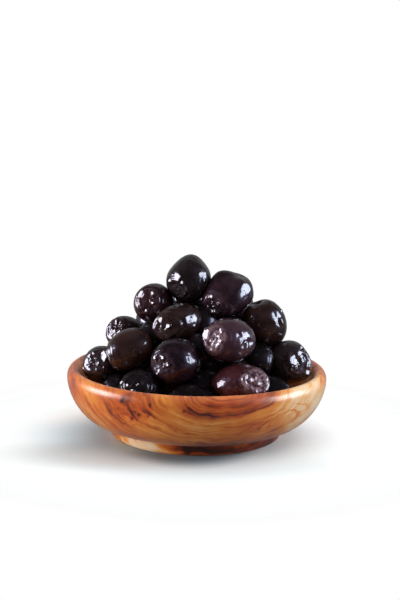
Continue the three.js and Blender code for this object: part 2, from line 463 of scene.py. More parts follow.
def capped_rings(rings, segments):
    """Faces of a sphere-like grid: a first pole, the rings between, and a last pole."""
    faces = []
    last = 1 + (rings - 1) * segments
    for j in range(segments):
        after = (j + 1) % segments
        faces.append((0, 1 + j, 1 + after))
        faces.append((last, last - segments + after, last - segments + j))
    for i in range(rings - 2):
        start = 1 + i * segments
        for j in range(segments):
            after = (j + 1) % segments
            below = start + segments
            faces.append((start + j, below + j, below + after, start + after))
    return faces


def direction(turn, tilt):
    """The unit vector at a turn from +X and a tilt up, in degrees."""
    turn, tilt = math.radians(turn), math.radians(tilt)
    flat = math.cos(tilt)
    return Vector((math.cos(turn) * flat, math.sin(turn) * flat, math.sin(tilt)))


# ---- Noise ----

# The shifts keep one olive's noise, and one use of it, apart from the others.
GRADIENTS = 256
NOISE_SEED = 11
NOISE_APART = 31.7
CAP_NOISE_APART = 17.3
WARP_SHIFT = 5.1
PLEAT_SHIFT = 9.7
_random = np.random.RandomState(NOISE_SEED)
_gradients = _random.normal(size=(GRADIENTS, 3))
_gradients /= np.linalg.norm(_gradients, axis=1)[:, None]
_order = _random.permutation(GRADIENTS)


def noise(points):
    """Gradient noise at points (n, 3), from about -0.7 to 0.7, with features about 1 across."""
    cell = np.floor(points).astype(int)
    inside = points - cell
    ease = inside**3 * (inside * (inside * 6 - 15) + 10)
    total = np.zeros(len(points))
    for corner in product((0, 1), repeat=3):
        x, y, z = ((cell + corner) % GRADIENTS).T
        gradient = _gradients[_order[(_order[(_order[x] + y) % GRADIENTS] + z) % GRADIENTS]]
        weight = np.prod(np.where(corner, ease, 1 - ease), axis=1)
        total += weight * np.einsum("ij,ij->i", gradient, inside - corner)
    return total


def bell(value, centre, width):
    return np.exp(-(((value - centre) / width) ** 2))


def rise(value, start, end):
    t = np.clip((value - start) / (end - start), 0, 1)
    return t * t * (3 - 2 * t)


# ---- The bowl ----


def outer_radius(height):
    t = (height - WALL_START) / (BELLY_TOP - WALL_START)
    swell = (1 - (1 - t) ** WALL_FULLNESS) ** (1 / WALL_FULLNESS)
    return WALL_START_RADIUS + (BELLY_RADIUS - WALL_START_RADIUS) * swell


def inner_radius(height):
    t = (height - INSIDE_FLOOR) / (BELLY_TOP - INSIDE_FLOOR)
    mouth = BELLY_RADIUS - LIP_WIDTH
    return INSIDE_FLOOR_RADIUS + (mouth - INSIDE_FLOOR_RADIUS) * math.sqrt(1 - (1 - t) ** 2)


def bowl_profile():
    """(radius, height) from near the middle of the underside, round the outside, to the inside."""
    points = [(FOOT_RADIUS * k / FOOT_STEPS, 0) for k in range(1, FOOT_STEPS)]
    across, up = FOOT_EDGE_MIDDLE
    points += [(FOOT_RADIUS - FOOT_EDGE, 0), (FOOT_RADIUS - across, up), (FOOT_RADIUS, FOOT_EDGE)]
    points.append((FOOT_TOP_RADIUS, FOOT_TOP - FOOT_TOP_EDGE))
    points.append((FOOT_TOP_RADIUS + FOOT_TOP_EDGE, FOOT_TOP))
    across, up = WALL_START_EDGE
    points += [(WALL_START_RADIUS - across, WALL_START - up), (WALL_START_RADIUS, WALL_START)]
    for i in range(1, WALL_STEPS + 1):
        t = 1 - math.cos(i / WALL_STEPS * math.pi / 2)
        height = WALL_START + (BELLY_TOP - WALL_START) * t
        points.append((outer_radius(height), height))
    for i in range(1, LIP_STEPS + 1):
        angle = i / LIP_STEPS * math.pi
        radius = BELLY_RADIUS - LIP_WIDTH / 2 * (1 - math.cos(angle))
        points.append((radius, BELLY_TOP + (LIP_TOP - BELLY_TOP) * math.sin(angle)))
    for i in range(1, INSIDE_STEPS + 1):
        t = 1 - math.sin(i / INSIDE_STEPS * math.pi / 2)
        height = INSIDE_FLOOR + (BELLY_TOP - INSIDE_FLOOR) * t
        points.append((inner_radius(height), height))
    return points


def make_bowl(material):
    profile = bowl_profile()
    turn = 2 * math.pi / BOWL_SEGMENTS
    points = [(0, 0, 0)]
    for radius, height in profile:
        for j in range(BOWL_SEGMENTS):
            points.append((radius * math.cos(j * turn), radius * math.sin(j * turn), height))
    points.append((0, 0, INSIDE_FLOOR))
    faces = [face[::-1] for face in capped_rings(len(profile) + 1, BOWL_SEGMENTS)]
    return make_object("turned_bowl", points, faces, material)


# ---- The olives ----


def sphere_grid(axis, rings, segments):
    """Directions on rings about an axis, crowded towards it, and their angles from and about it."""
    one = axis.orthogonal().normalized()
    two = axis.cross(one)
    step = (np.arange(1, rings) / rings) ** RING_CROWDING * math.pi
    away = np.concatenate([[0], np.repeat(step, segments), [math.pi]])
    about = np.tile(np.arange(segments) * 2 * math.pi / segments, rings - 1)
    about = np.concatenate([[0], about, [0]])
    flat = np.outer(np.cos(about), one) + np.outer(np.sin(about), two)
    return np.outer(np.cos(away), axis) + np.sin(away)[:, None] * flat, away, about


def egg(u, length, width, index):
    """The plump form that the solid has: an egg with two soft lumps that differ for each olive."""
    phase = LUMP_TURN * index
    along, one, two = u.T
    round_it = (1 - along**2) * np.sin(2 * np.arctan2(two, one) + phase)
    lump = 1 + LUMP * (round_it + LUMP_ALONG * np.sin(3 * along + phase))
    across = width / 2 * lump * (1 + STEM_END_FULLNESS * along)
    return np.stack([length / 2 * along * lump, across * one, across * two], 1)


def cap_relief(away, about, width, index, arcs, crinkles):
    """The wrinkled cap round the stem scar, in millimetres, and where it is, from 0 to 1."""
    two, three = CAP_WAVES
    waves = two * np.sin(2 * about + index) + three * np.sin(3 * about + CAP_WAVE_TURN * index)
    t = away / math.asin(CAP_RADIUS / (width / 2)) * (1 + waves)
    swirl = about + FOLD_SWIRL * t
    start, growth = FOLD_SPREAD
    spread = np.clip(start + growth * t, 0, 1)[:, None]
    spot = np.stack([np.cos(swirl), np.sin(swirl), t * FOLD_STEPS], 1) * spread
    spot += CAP_NOISE_APART * index
    warp = noise(spot * FOLD_WARP_RATE + WARP_SHIFT)
    pleats = noise(spot * PLEAT_RATE + PLEAT_WARP * warp[:, None] + PLEAT_SHIFT)
    pleats = np.clip(1 - np.abs(pleats) / PLEAT_WIDTH, 0, 1) ** PLEAT_SHARPNESS
    folds = FOLD_DEPTH * noise(spot) - PLEAT_DEPTH * pleats
    relief = crinkles * (1 - rise(t, *CAP_EDGE)) * folds
    sunk = CAP_DEPTH * (CAP_DEPTH_PLAIN + (1 - CAP_DEPTH_PLAIN) * crinkles)
    relief -= sunk * (1 - rise(t + CAP_SLOPE_UNEVEN * warp, *CAP_SLOPE))
    place, spread, depth = CREASE
    relief -= arcs * depth * bell(t, place, spread)
    for place, spread, height in ROLLS:
        relief += arcs * height * bell(t, place, spread)
    for k, (place, spread, depth) in enumerate(ARCS_OUTSIDE):
        side = rise(np.cos(about - ARC_TURN[0] * index - ARC_TURN[1] * k), *ARC_PART)
        relief -= arcs * depth * bell(t + ARC_WARP * warp, place, spread) * side
    relief -= SCAR_DEPTH * bell(away * width / 2, 0, SCAR_RADIUS)
    return relief, crinkles * (1 - rise(t, *CAP_MARK_EDGE))


def body_relief(points, index):
    """Soft swells and faint creases all over the skin."""
    spot = points + NOISE_APART * index
    creases = np.clip(1 - np.abs(noise(spot / BODY_CREASE_SIZE)) / BODY_CREASE_WIDTH, 0, 1)
    ripples = BODY_RIPPLE * noise(spot / BODY_RIPPLE_SIZE)
    return BODY_SWELL * noise(spot / BODY_SWELL_SIZE) + ripples - BODY_CREASE * creases**2


def dent_relief(u, middle, radius, depth, creases):
    """How far a dent goes in, with uneven creases round its middle."""
    one = middle.orthogonal().normalized()
    two = middle.cross(one)
    angle = np.degrees(np.arccos(np.clip(u @ middle, -1, 1)))
    relief = depth * bell(angle, 0, radius)
    if creases:
        about = np.arctan2(u @ two, u @ one)
        spot = np.stack([np.cos(about) * creases, np.sin(about) * creases, angle / radius], 1)
        folds = noise(spot / DENT_CREASE_SIZE + DENT_CREASE_SHIFT * depth)
        relief += DENT_CREASE * bell(angle / radius, *DENT_CREASE_RING) * folds
    return relief


def unit(vector):
    return vector / np.linalg.norm(vector)


def olive_facing(row):
    """The rotation from an olive's own axes to the dish."""
    turn, tilt = row[FACING]
    return np.array(Euler((0, math.radians(-tilt), math.radians(turn)), "XYZ").to_matrix())


def half_sizes(row):
    length, width = row[SIZES]
    return np.array((length, width, width)) / 2


def placed(points, row):
    return points @ olive_facing(row).T + row[CENTRE]


def in_olive(turn, tilt, row):
    """A direction in the dish as a direction on the unit ball that the olive is stretched from."""
    return Vector(unit(olive_facing(row).T @ direction(turn, tilt) / half_sizes(row)))


def in_view(x, y, row):
    """The point of that unit ball that the camera sees at a place in its frame, or the nearest."""
    ray = camera_rotation() @ Vector((x - FRAME_WIDTH / 2, FRAME_HEIGHT / 2 - y, -FOCAL_PIXELS))
    start = olive_facing(row).T @ (np.array(CAMERA_PLACE) / MM - row[CENTRE]) / half_sizes(row)
    ray = unit(olive_facing(row).T @ ray / half_sizes(row))
    nearest = start - (start @ ray) * ray
    short = math.sqrt(max(0, 1 - nearest @ nearest))
    return unit(nearest - short * ray)


def with_glints(points, relief, row, index):
    """The relief with each glint's facet, turned halfway between its light and the camera."""
    facing = olive_facing(row)
    camera = np.array(CAMERA_PLACE) / MM
    for x, y, radius, light in GLINTS.get(index, []):
        ball = in_view(x, y, row)
        middle = egg(ball[None], *row[SIZES], index)[0]
        outward = unit(ball / half_sizes(row))
        place = facing @ middle + row[CENTRE]
        halfway = outward
        if light is not FLAT:
            lamp = np.array(softbox_place(*light)) / MM
            halfway = facing.T @ unit(unit(camera - place) + unit(lamp - place))
        slope = halfway / (halfway @ outward) - outward
        offset = points - middle
        plane = np.clip(-offset @ (slope + outward), -GLINT_DEEPEST, GLINT_DEEPEST)
        away = np.linalg.norm(offset, axis=1) / radius
        away *= 1 + GLINT_RAGGED * noise(points / GLINT_RAGGED_SIZE)
        share = 1 - rise(away, *GLINT_EDGE)
        relief = relief * (1 - (1 - GLINT_RELIEF) * share) + plane * share
    return relief


def wrinkled_olive(row, index):
    """Points of an outer olive, where its cap is, and its lightness."""
    length, width = row[SIZES]
    light, cap_turn, cap_tilt, arcs, crinkles = row[LOOKS]
    cap = in_olive(cap_turn, cap_tilt, row)
    u, away, about = sphere_grid(cap, OUTER_RINGS, OUTER_SEGMENTS)
    points = egg(u, length, width, index)
    outward = u / half_sizes(row)
    outward /= np.linalg.norm(outward, axis=1)[:, None]
    relief, in_cap = cap_relief(away, about, width, index, arcs, crinkles)
    relief += body_relief(points, index)
    for which, turn, tilt, radius, depth, creases in DENTS:
        if which == index:
            relief -= dent_relief(u, in_olive(turn, tilt, row), radius, depth, creases)
    relief = with_glints(points, relief, row, index)
    return placed(points + outward * relief[:, None], row), in_cap, np.full(len(u), light)


def plain_olive(row, index):
    length, width = row[SIZES]
    u, _, _ = sphere_grid(Vector((1, 0, 0)), WITHIN_RINGS, WITHIN_SEGMENTS)
    points = egg(u, length, width, index)
    swell = 1 + body_relief(points, index)[:, None] / (width / 2)
    return placed(points * swell, row), np.zeros(len(u)), np.full(len(u), WITHIN_LIGHTNESS)


def ring_rows():
    rows = []
    for i in range(RING_COUNT):
        degrees = RING_START + i * RING_STEP
        angle = math.radians(degrees)
        x, y = RING_RADIUS * math.cos(angle), RING_RADIUS * math.sin(angle)
        rows.append([x, y, RING_HEIGHT, RING_LENGTH, RING_WIDTH, degrees + 90, 0])
    return rows


def join_olives(name, olives, rings, segments, material):
    """One object from several olives, each given as its points, cap and lightness."""
    own_faces = capped_rings(rings, segments)
    faces = []
    for k, (points, _, _) in enumerate(olives):
        start = k * len(points)
        faces += [tuple(start + v for v in face) for face in own_faces]
    made = make_object(name, np.concatenate([o[0] for o in olives]), faces, material)
    add_attribute(made, "cap", np.concatenate([o[1] for o in olives]))
    add_attribute(made, "lightness", np.concatenate([o[2] for o in olives]))
    return made


def make_outer_olives(skins):
    kinds = {kind: [] for kind in skins}
    for index, row in enumerate(OLIVES_IN_FRONT + OLIVES_BEHIND):
        kinds[row[KIND]].append(wrinkled_olive(row, index))
    return [
        join_olives("olives_" + kind, olives, OUTER_RINGS, OUTER_SEGMENTS, skins[kind])
        for kind, olives in kinds.items()
    ]


def make_within_olives(material):
    first = len(OLIVES_IN_FRONT) + len(OLIVES_BEHIND)
    rows = OLIVES_WITHIN + ring_rows()
    olives = [plain_olive(row, first + k) for k, row in enumerate(rows)]
    return join_olives("olives_within", olives, WITHIN_RINGS, WITHIN_SEGMENTS, material)


def make_core(material):
    heart = Vector(HEART)
    shape = bmesh.new()
    for row in OLIVES_IN_FRONT + OLIVES_BEHIND:
        centre = Vector(row[CENTRE])
        shape.verts.new((centre + (heart - centre).normalized() * DRAWN_IN) * MM)
    for i in range(CORE_SIDES):
        angle = i * 2 * math.pi / CORE_SIDES
        x, y = CORE_FOOT_RADIUS * math.cos(angle), CORE_FOOT_RADIUS * math.sin(angle)
        shape.verts.new(Vector((x, y, CORE_FOOT_HEIGHT)) * MM)
    hull = bmesh.ops.convex_hull(shape, input=shape.verts)
    bmesh.ops.delete(shape, geom=hull["geom_interior"], context="VERTS")
    mesh = bpy.data.meshes.new("olive_core")
    shape.to_mesh(mesh)
    shape.free()
    mesh.materials.append(material)
    made = bpy.data.objects.new("olive_core", mesh)
    bpy.context.scene.collection.objects.link(made)
    return made


# ---- Materials ----

# Most values of a noise node lie in MOST_NOISE, and nearly all in ALL_NOISE.
MOST_NOISE = (0.3, 0.7)
ALL_NOISE = (0.25, 0.75)
NUMBER_OPERATIONS = ("LENGTH", "DISTANCE", "DOT_PRODUCT")


class Shader:
    """A new material with a Principled BSDF, and short ways to add nodes to its tree."""

    def __init__(self, name):
        self.material = bpy.data.materials.new(name)
        self.material.use_nodes = True
        self.tree = self.material.node_tree
        self.surface = self.tree.nodes["Principled BSDF"]

    def put(self, socket, value):
        if isinstance(value, bpy.types.NodeSocket):
            self.tree.links.new(value, socket)
        else:
            socket.default_value = value

    def add(self, kind, inputs, **settings):
        node = self.tree.nodes.new(kind)
        for name, value in settings.items():
            setattr(node, name, value)
        for key, value in inputs.items():
            self.put(node.inputs[key], value)
        return node

    def place(self):
        """Where a point is in the dish, in millimetres."""
        coordinates = self.add("ShaderNodeTexCoord", {}).outputs["Object"]
        return self.scale(coordinates, 1 / MM)

    def vector(self, operation, a, b=(0, 0, 0)):
        node = self.add("ShaderNodeVectorMath", {0: a, 1: b}, operation=operation)
        return node.outputs["Value" if operation in NUMBER_OPERATIONS else "Vector"]

    def scale(self, vector, factor):
        return self.vector("MULTIPLY", vector, (factor, factor, factor))

    def math(self, operation, a, b=0.0, clamp=False):
        node = self.add("ShaderNodeMath", {0: a, 1: b}, operation=operation, use_clamp=clamp)
        return node.outputs[0]

    def plus(self, a, b, clamp=False):
        return self.math("ADD", a, b, clamp)

    def times(self, a, b, clamp=False):
        return self.math("MULTIPLY", a, b, clamp)

    def split(self, vector):
        return self.add("ShaderNodeSeparateXYZ", {0: vector}).outputs

    def joined(self, x, y, z):
        return self.add("ShaderNodeCombineXYZ", {0: x, 1: y, 2: z}).outputs[0]

    def noise(self, place, size, detail=2.0, roughness=0.5, output="Fac"):
        """Noise with features about size across, as a value or, from its output Color, three."""
        inputs = {"Vector": place, "Scale": 1 / size, "Detail": detail, "Roughness": roughness}
        return self.add("ShaderNodeTexNoise", inputs).outputs[output]

    def drift(self, place, size):
        """A vector of noise of that size, each part up to a half either way."""
        return self.vector("SUBTRACT", self.noise(place, size, output="Color"), (0.5, 0.5, 0.5))

    def sway(self, place, size, reach):
        """The place, moved by up to about reach by noise of that size."""
        return self.vector("ADD", place, self.scale(self.drift(place, size), 2 * reach))

    def rise(self, value, start, end, low=0.0, high=1.0):
        """A smooth step from low, where the value is start, to high, where it is end."""
        inputs = {"Value": value, "From Min": start, "From Max": end, "To Min": low, "To Max": high}
        node = self.add("ShaderNodeMapRange", inputs, interpolation_type="SMOOTHSTEP")
        return node.outputs[0]

    def near(self, place, middle, halves, outside, inside):
        """Whether a place is in a blob: 0 from outside on and 1 up to inside, in its half sizes."""
        away = self.vector("SUBTRACT", place, middle)
        away = self.vector("MULTIPLY", away, [1 / half for half in halves])
        return self.rise(self.vector("LENGTH", away), outside, inside)

    def mix(self, factor, a, b):
        a, b = [c if isinstance(c, bpy.types.NodeSocket) else (*c, 1) for c in (a, b)]
        return self.add("ShaderNodeMix", {0: factor, 6: a, 7: b}, data_type="RGBA").outputs[2]

    def tinted(self, colour, tint):
        inputs = {0: 1.0, 6: colour, 7: (*tint, 1)}
        node = self.add("ShaderNodeMix", inputs, data_type="RGBA", blend_type="MULTIPLY")
        return node.outputs[2]

    def ramp(self, value, stops):
        node = self.add("ShaderNodeValToRGB", {0: value})
        elements = node.color_ramp.elements
        while len(elements) < len(stops):
            elements.new(1.0)
        for element, (position, colour) in zip(elements, stops):
            element.position = position
            element.color = (*colour, 1)
        return node.outputs[0]

    def bump(self, height, distance, strength, normal=None):
        inputs = {"Height": height, "Distance": distance * MM, "Strength": strength}
        if normal is not None:
            inputs["Normal"] = normal
        return self.add("ShaderNodeBump", inputs).outputs[0]

    def finish(self, **inputs):
        """The material, with these inputs of its surface set: values, sockets or colours."""
        for name, value in inputs.items():
            socket = self.surface.inputs[name.replace("_", " ")]
            self.put(socket, (*value, 1) if isinstance(value, tuple) else value)
        return self.material


def wood_rings(s, place):
    """Distance from the pith in millimetres."""
    offset = s.vector("SUBTRACT", place, (PITH_X, 0, PITH_Z))
    return s.vector("LENGTH", s.vector("MULTIPLY", offset, (PITH_STRETCH, 0, 1)))


def wood_eye(s, place):
    """The outlines of the eye, from 0 to 1: a leaf shape that narrows to the left."""
    x, z, across, up = EYE
    lean = math.radians(EYE_LEAN)
    offset = s.vector("SUBTRACT", place, (x, 0, z))
    along = s.vector("DOT_PRODUCT", offset, (math.cos(lean) / across, 0, math.sin(lean) / across))
    above = s.vector("DOT_PRODUCT", offset, (-math.sin(lean) / up, 0, math.cos(lean) / up))
    above = s.times(above, s.rise(along, 1.0, -1.0, 1.0, 1.0 + EYE_TAPER))
    away = s.vector("LENGTH", s.joined(along, above, 0.0))
    lines = 0.0
    for share, width, strength in EYE_LINES:
        off_line = s.math("ABSOLUTE", s.math("SUBTRACT", away, share))
        lines = s.math("MAXIMUM", lines, s.rise(off_line, width, 0.0, 0.0, strength))
    return s.times(lines, s.rise(s.split(place)["Y"], *EYE_FRONT))


def stroke(s, place, start, end, half):
    """How near a place is to a straight stroke, from 0 at its edge to 1 on it."""
    start, end = Vector(start), Vector(end)
    run = end - start
    offset = s.vector("SUBTRACT", place, start)
    share = s.times(s.vector("DOT_PRODUCT", offset, run), 1 / run.length_squared, clamp=True)
    nearest = s.vector("MULTIPLY", s.joined(share, share, share), run)
    return s.rise(s.vector("DISTANCE", offset, nearest), half, 0.0)


def wood_bent(s, place, burl):
    """The place as the rings see it: bent all over, and swirled within the burl."""
    swirl = s.drift(place, BURL_SWIRL_SIZE)
    swirl = s.vector("MULTIPLY", swirl, s.joined(*[s.times(burl, BURL_SWIRL)] * 3))
    return s.vector("ADD", s.sway(s.sway(place, *RING_BEND), *RING_WAVE), swirl)


def olive_wood():
    s = Shader("olive_wood")
    place = s.place()
    middle, reach = BURL
    off_burl = s.vector("DISTANCE", s.sway(place, *BURL_BEND), middle)
    burl = s.rise(off_burl, reach, BURL_FULL * reach)
    bent = wood_bent(s, place, burl)
    rings = wood_rings(s, bent)

    # The tone, from pale to dark, and how red the wood is, with painted light and shade in some
    # patches.
    along = s.scale(bent, ALONG_GRAIN)
    at_ring = s.vector("ADD", along, s.joined(rings, 0.0, 0.0))
    at_band = s.vector("ADD", along, s.joined(rings, BAND_SHIFT, 0.0))
    bands = s.noise(at_band, BAND_SIZE, detail=1)
    streaks = s.noise(at_ring, STREAK_SIZE, detail=4, roughness=0.65)
    fibres = s.noise(at_ring, FIBRE_SIZE)
    clouds = s.noise(s.sway(place, *CLOUD_BEND), CLOUD_SIZE)
    tone = s.plus(s.rise(bands, *MOST_NOISE, *BAND_TONE), s.rise(clouds, *MOST_NOISE, *CLOUD_TONE))
    tone = s.plus(tone, s.rise(streaks, *ALL_NOISE, *STREAK_TONE))
    tone = s.plus(tone, s.rise(fibres, *ALL_NOISE, *FIBRE_TONE))
    red = s.rise(s.noise(s.vector("ADD", place, RED_SHIFT), RED_SIZE), *RED_EDGE)
    loose = s.sway(place, *PATCH_BEND)
    for middle, halves, darker, redder in FIGURE_AND_PAINTED_LIGHT_PATCHES:
        near = s.near(loose, middle, halves, *PATCH_EDGE)
        tone = s.plus(tone, s.times(near, darker))
        red = s.plus(red, s.times(near, redder))

    # The dark figure: the lines along the rings and of the eye, strokes, blotches and knots.
    stops = [(radius / RING_REACH, (line, line, line)) for radius, line in RING_LINES]
    lines = s.ramp(s.math("DIVIDE", rings, RING_REACH), stops)
    lines = s.math("MAXIMUM", lines, wood_eye(s, s.sway(place, *EYE_BEND)))
    lines = s.times(lines, s.rise(s.noise(place, LINE_BREAK_SIZE), *LINE_BREAKS))
    tone = s.plus(tone, s.times(lines, LINE_DARKER))
    wavy = s.sway(place, *STROKE_BEND)
    for start, end, half, darker in STROKES:
        tone = s.plus(tone, s.times(stroke(s, wavy, start, end, half), darker))
    blotches = s.noise(s.sway(place, *BLOTCH_BEND), BLOTCH_SIZE, detail=3, roughness=0.6)
    blotches = s.times(burl, s.rise(blotches, *BLOTCH_EDGE))
    tone = s.plus(tone, s.times(blotches, BLOTCH_DARKER))
    for x, y, z, radius in KNOTS:
        starts, full = KNOT_EDGE
        away = s.vector("DISTANCE", wavy, (x, y, z))
        tone = s.plus(tone, s.rise(away, starts * radius, full * radius, 0, KNOT_DARKER))

    first, last = WOOD_COLOURS[0][0], WOOD_COLOURS[-1][0]
    stops = [((position - first) / (last - first), colour) for position, colour in WOOD_COLOURS]
    share = s.math("DIVIDE", s.math("SUBTRACT", tone, first), last - first, clamp=True)
    colour = s.ramp(share, stops)
    colour = s.mix(s.times(red, RED_SHARE, clamp=True), colour, s.tinted(colour, RED_TINT))
    bump = s.bump(s.plus(s.noise(place, PORE_SIZE), s.times(streaks, STREAK_RELIEF)), *WOOD_BUMP)
    return s.finish(
        Base_Color=colour,
        Roughness=s.rise(streaks, *MOST_NOISE, *WOOD_ROUGHNESS),
        Normal=bump,
        Coat_Weight=0.6,
        Coat_Roughness=0.30,
        Sheen_Weight=0.2,
        Sheen_Roughness=0.4,
        Sheen_Tint=(1.0, 0.82, 0.76),
    )


# The olives' skins by kind: dark and light colour, how much painted sheen the cap has, and how
# glossy it is. The deep ones are those that lie low in the heap; theirs is a dull, shaded copy of
# the black skin.
SKINS = {
    "black": ((0.008, 0.0045, 0.004), (0.028, 0.016, 0.016), 0.15, 1.0),
    "purple": ((0.012, 0.004, 0.0055), (0.056, 0.020, 0.028), 1.0, 1.0),
    "maroon": ((0.014, 0.003, 0.003), (0.070, 0.014, 0.015), 1.0, 1.0),
    "brown": ((0.013, 0.0045, 0.003), (0.056, 0.022, 0.014), 0.5, 1.0),
    # A shaded copy of the black skin: the same colours, little gloss and no painted sheen.
    "deep": ((0.008, 0.0045, 0.004), (0.028, 0.016, 0.016), 0.0, 0.3),
}
SKIN_CLOUD_SIZE = 6
SKIN_CLOUDS = (-0.25, 0.25)
SKIN_ROUGHNESS = (0.24, 0.36)
SKIN_SPECULAR = (0.6, 0.6, 1.0)

# The painted sheen of the caps, a pale mauve standing in for the sheen of their wrinkles: its
# colour, the share of it that dark olives have and at which lightness it sets in, and the size, sway
# and strength of its patches.
CAP_SHEEN_COLOUR = (0.42, 0.27, 0.31)
CAP_SHEEN_ON_DARK = 0.15
CAP_SHEEN_SETS_IN = (0.45, 0.65)
CAP_SHEEN_SIZE = 1.4
CAP_SHEEN_BEND = (2, 1)
CAP_SHEEN_PATCHES = (0.4, 0.6, 0.05, 0.6)

# The finest relief: grain and crinkles, with their size, and depth and strength as bump. The
# crinkles are higher in the cap.
GRAIN_SIZE = 0.45
GRAIN_BUMP = (0.02, 0.3)
CRINKLE_SIZE = 0.8
CRINKLE_BEND = (1.2, 0.5)
CRINKLE_ON_BODY = 0.05
CRINKLE_IN_CAP = 0.08
CRINKLE_BUMP = (0.12, 0.5)


def olive_skin(kind):
    s = Shader("olive_skin_" + kind)
    dark, light, sheen_share, gloss = SKINS[kind]
    place = s.place()
    cap = s.add("ShaderNodeAttribute", {}, attribute_name="cap").outputs["Fac"]
    lightness = s.add("ShaderNodeAttribute", {}, attribute_name="lightness").outputs["Fac"]
    clouds = s.noise(place, SKIN_CLOUD_SIZE, detail=3, roughness=0.6)
    amount = s.plus(lightness, s.rise(clouds, *MOST_NOISE, *SKIN_CLOUDS), clamp=True)
    # Painted sheen: pale mauve mixed into the caps, in patches.
    painted_sheen = s.rise(lightness, *CAP_SHEEN_SETS_IN, CAP_SHEEN_ON_DARK * sheen_share, sheen_share)
    patches = s.noise(s.sway(place, *CAP_SHEEN_BEND), CAP_SHEEN_SIZE, detail=3)
    painted_sheen = s.times(s.times(cap, painted_sheen), s.rise(patches, *CAP_SHEEN_PATCHES))
    crinkle = s.noise(s.sway(place, *CRINKLE_BEND), CRINKLE_SIZE, detail=3, roughness=0.6)
    height = s.times(crinkle, s.plus(s.times(cap, CRINKLE_IN_CAP), CRINKLE_ON_BODY))
    grain = s.bump(s.noise(place, GRAIN_SIZE), *GRAIN_BUMP)
    return s.finish(
        Base_Color=s.mix(painted_sheen, s.mix(amount, dark, light), CAP_SHEEN_COLOUR),
        Roughness=s.rise(clouds, *MOST_NOISE, *SKIN_ROUGHNESS),
        Normal=s.bump(height, *CRINKLE_BUMP, grain),
        Specular_Tint=SKIN_SPECULAR,
        Coat_Weight=gloss,
        Coat_Roughness=0.06,
    )


# The core is near black, a painted shade that shows in the gaps between the olives.
CORE_SHADE_COLOURS = ((0.004, 0.003, 0.003), (0.012, 0.008, 0.008))
CORE_CLOUD_SIZE = 5


def core_painted_shade():
    s = Shader("core_painted_shade")
    clouds = s.noise(s.place(), CORE_CLOUD_SIZE, detail=3)
    return s.finish(Base_Color=s.mix(clouds, *CORE_SHADE_COLOURS), Roughness=0.5)


def floor_white():
    """Matt white with painted shadows for the camera, dull for bounced light, fading out outwards.
    """
    s = Shader("floor_white")
    place = s.place()
    # Painted shadow of the dish: the white darkened within the blobs, more so further out.
    painted_shadow = 0.0
    for middle, halves in PAINTED_SHADOWS:
        painted_shadow = s.math("MAXIMUM", painted_shadow, s.near(place, middle, halves, *PAINTED_SHADOW_EDGE))
    kept = s.rise(s.vector("DISTANCE", place, PAINTED_SHADOW_FROM), *PAINTED_SHADOW_REACH, *PAINTED_SHADOW_KEPT)
    dimmed = s.mix(s.times(painted_shadow, s.math("SUBTRACT", 1.0, kept)), (1, 1, 1), (0, 0, 0))
    # Painted cool tint near the dish on the left, against the warm light that the wood bounces.
    near = s.near(place, NEAR_MIDDLE, NEAR_HALVES, *NEAR_EDGE)
    white = s.vector("MULTIPLY", s.mix(near, FLOOR_SEEN, FLOOR_NEAR_TINT), dimmed)
    # Painted contact shadow at the foot and just in front of it.
    contact_shadow = s.near(place, CONTACT_SHADOW_MIDDLE, CONTACT_SHADOW_HALVES, *CONTACT_SHADOW_EDGE)
    white = s.mix(contact_shadow, white, FLOOR_CONTACT_SHADOW)
    seen = s.add("ShaderNodeLightPath", {}).outputs["Is Camera Ray"]
    s.finish(Base_Color=s.mix(seen, FLOOR_BOUNCE, white), Roughness=0.9)
    shown = s.rise(s.vector("LENGTH", place), *FLOOR_FADE, 1.0, 0.0)
    clear = s.add("ShaderNodeBsdfTransparent", {}).outputs[0]
    mix = s.add("ShaderNodeMixShader", {0: shown, 1: clear, 2: s.surface.outputs[0]})
    s.put(s.tree.nodes["Material Output"].inputs["Surface"], mix.outputs[0])
    return s.material


# ---- The stage ----

# The floor: its half size in metres, the distances in millimetres between which it fades out, and
# its colours: to the camera, a painted cool tint near the dish on the left against the wood's warm
# bounced light, a painted contact shadow at the foot and just in front of it, and to bounced light.
# NEAR and CONTACT are the blobs, by middle, half sizes and edge, where the second and the third
# show.
FLOOR_HALF = 0.5
FLOOR_FADE = (58, 130)
FLOOR_SEEN = (0.91, 0.98, 1.0)
FLOOR_NEAR_TINT = (0.66, 0.90, 1.0)
FLOOR_CONTACT_SHADOW = (0.25, 0.31, 0.35)
FLOOR_BOUNCE = (0.2, 0.2, 0.2)
NEAR_MIDDLE = (-34, -8, 0)
NEAR_HALVES = (44, 36, 9)
NEAR_EDGE = (1.2, 0.4)
CONTACT_SHADOW_MIDDLE = (-3, -8, 0)
CONTACT_SHADOW_HALVES = (37, 53, 9)
CONTACT_SHADOW_EDGE = (1.0, 0.66)

# The dish's soft cast shadow, painted on the floor: two blobs, by middle and half sizes, and the
# share of the white that they keep, from all of it near a point under the dish to less further out.
PAINTED_SHADOWS = [((-18, -39, 0), (66, 25, 9)), ((22, -48, 0), (40, 19, 9))]
PAINTED_SHADOW_EDGE = (1.25, 0.5)
PAINTED_SHADOW_FROM = (10, -25, 0)
PAINTED_SHADOW_REACH = (25, 90)
PAINTED_SHADOW_KEPT = (1.0, 0.55)

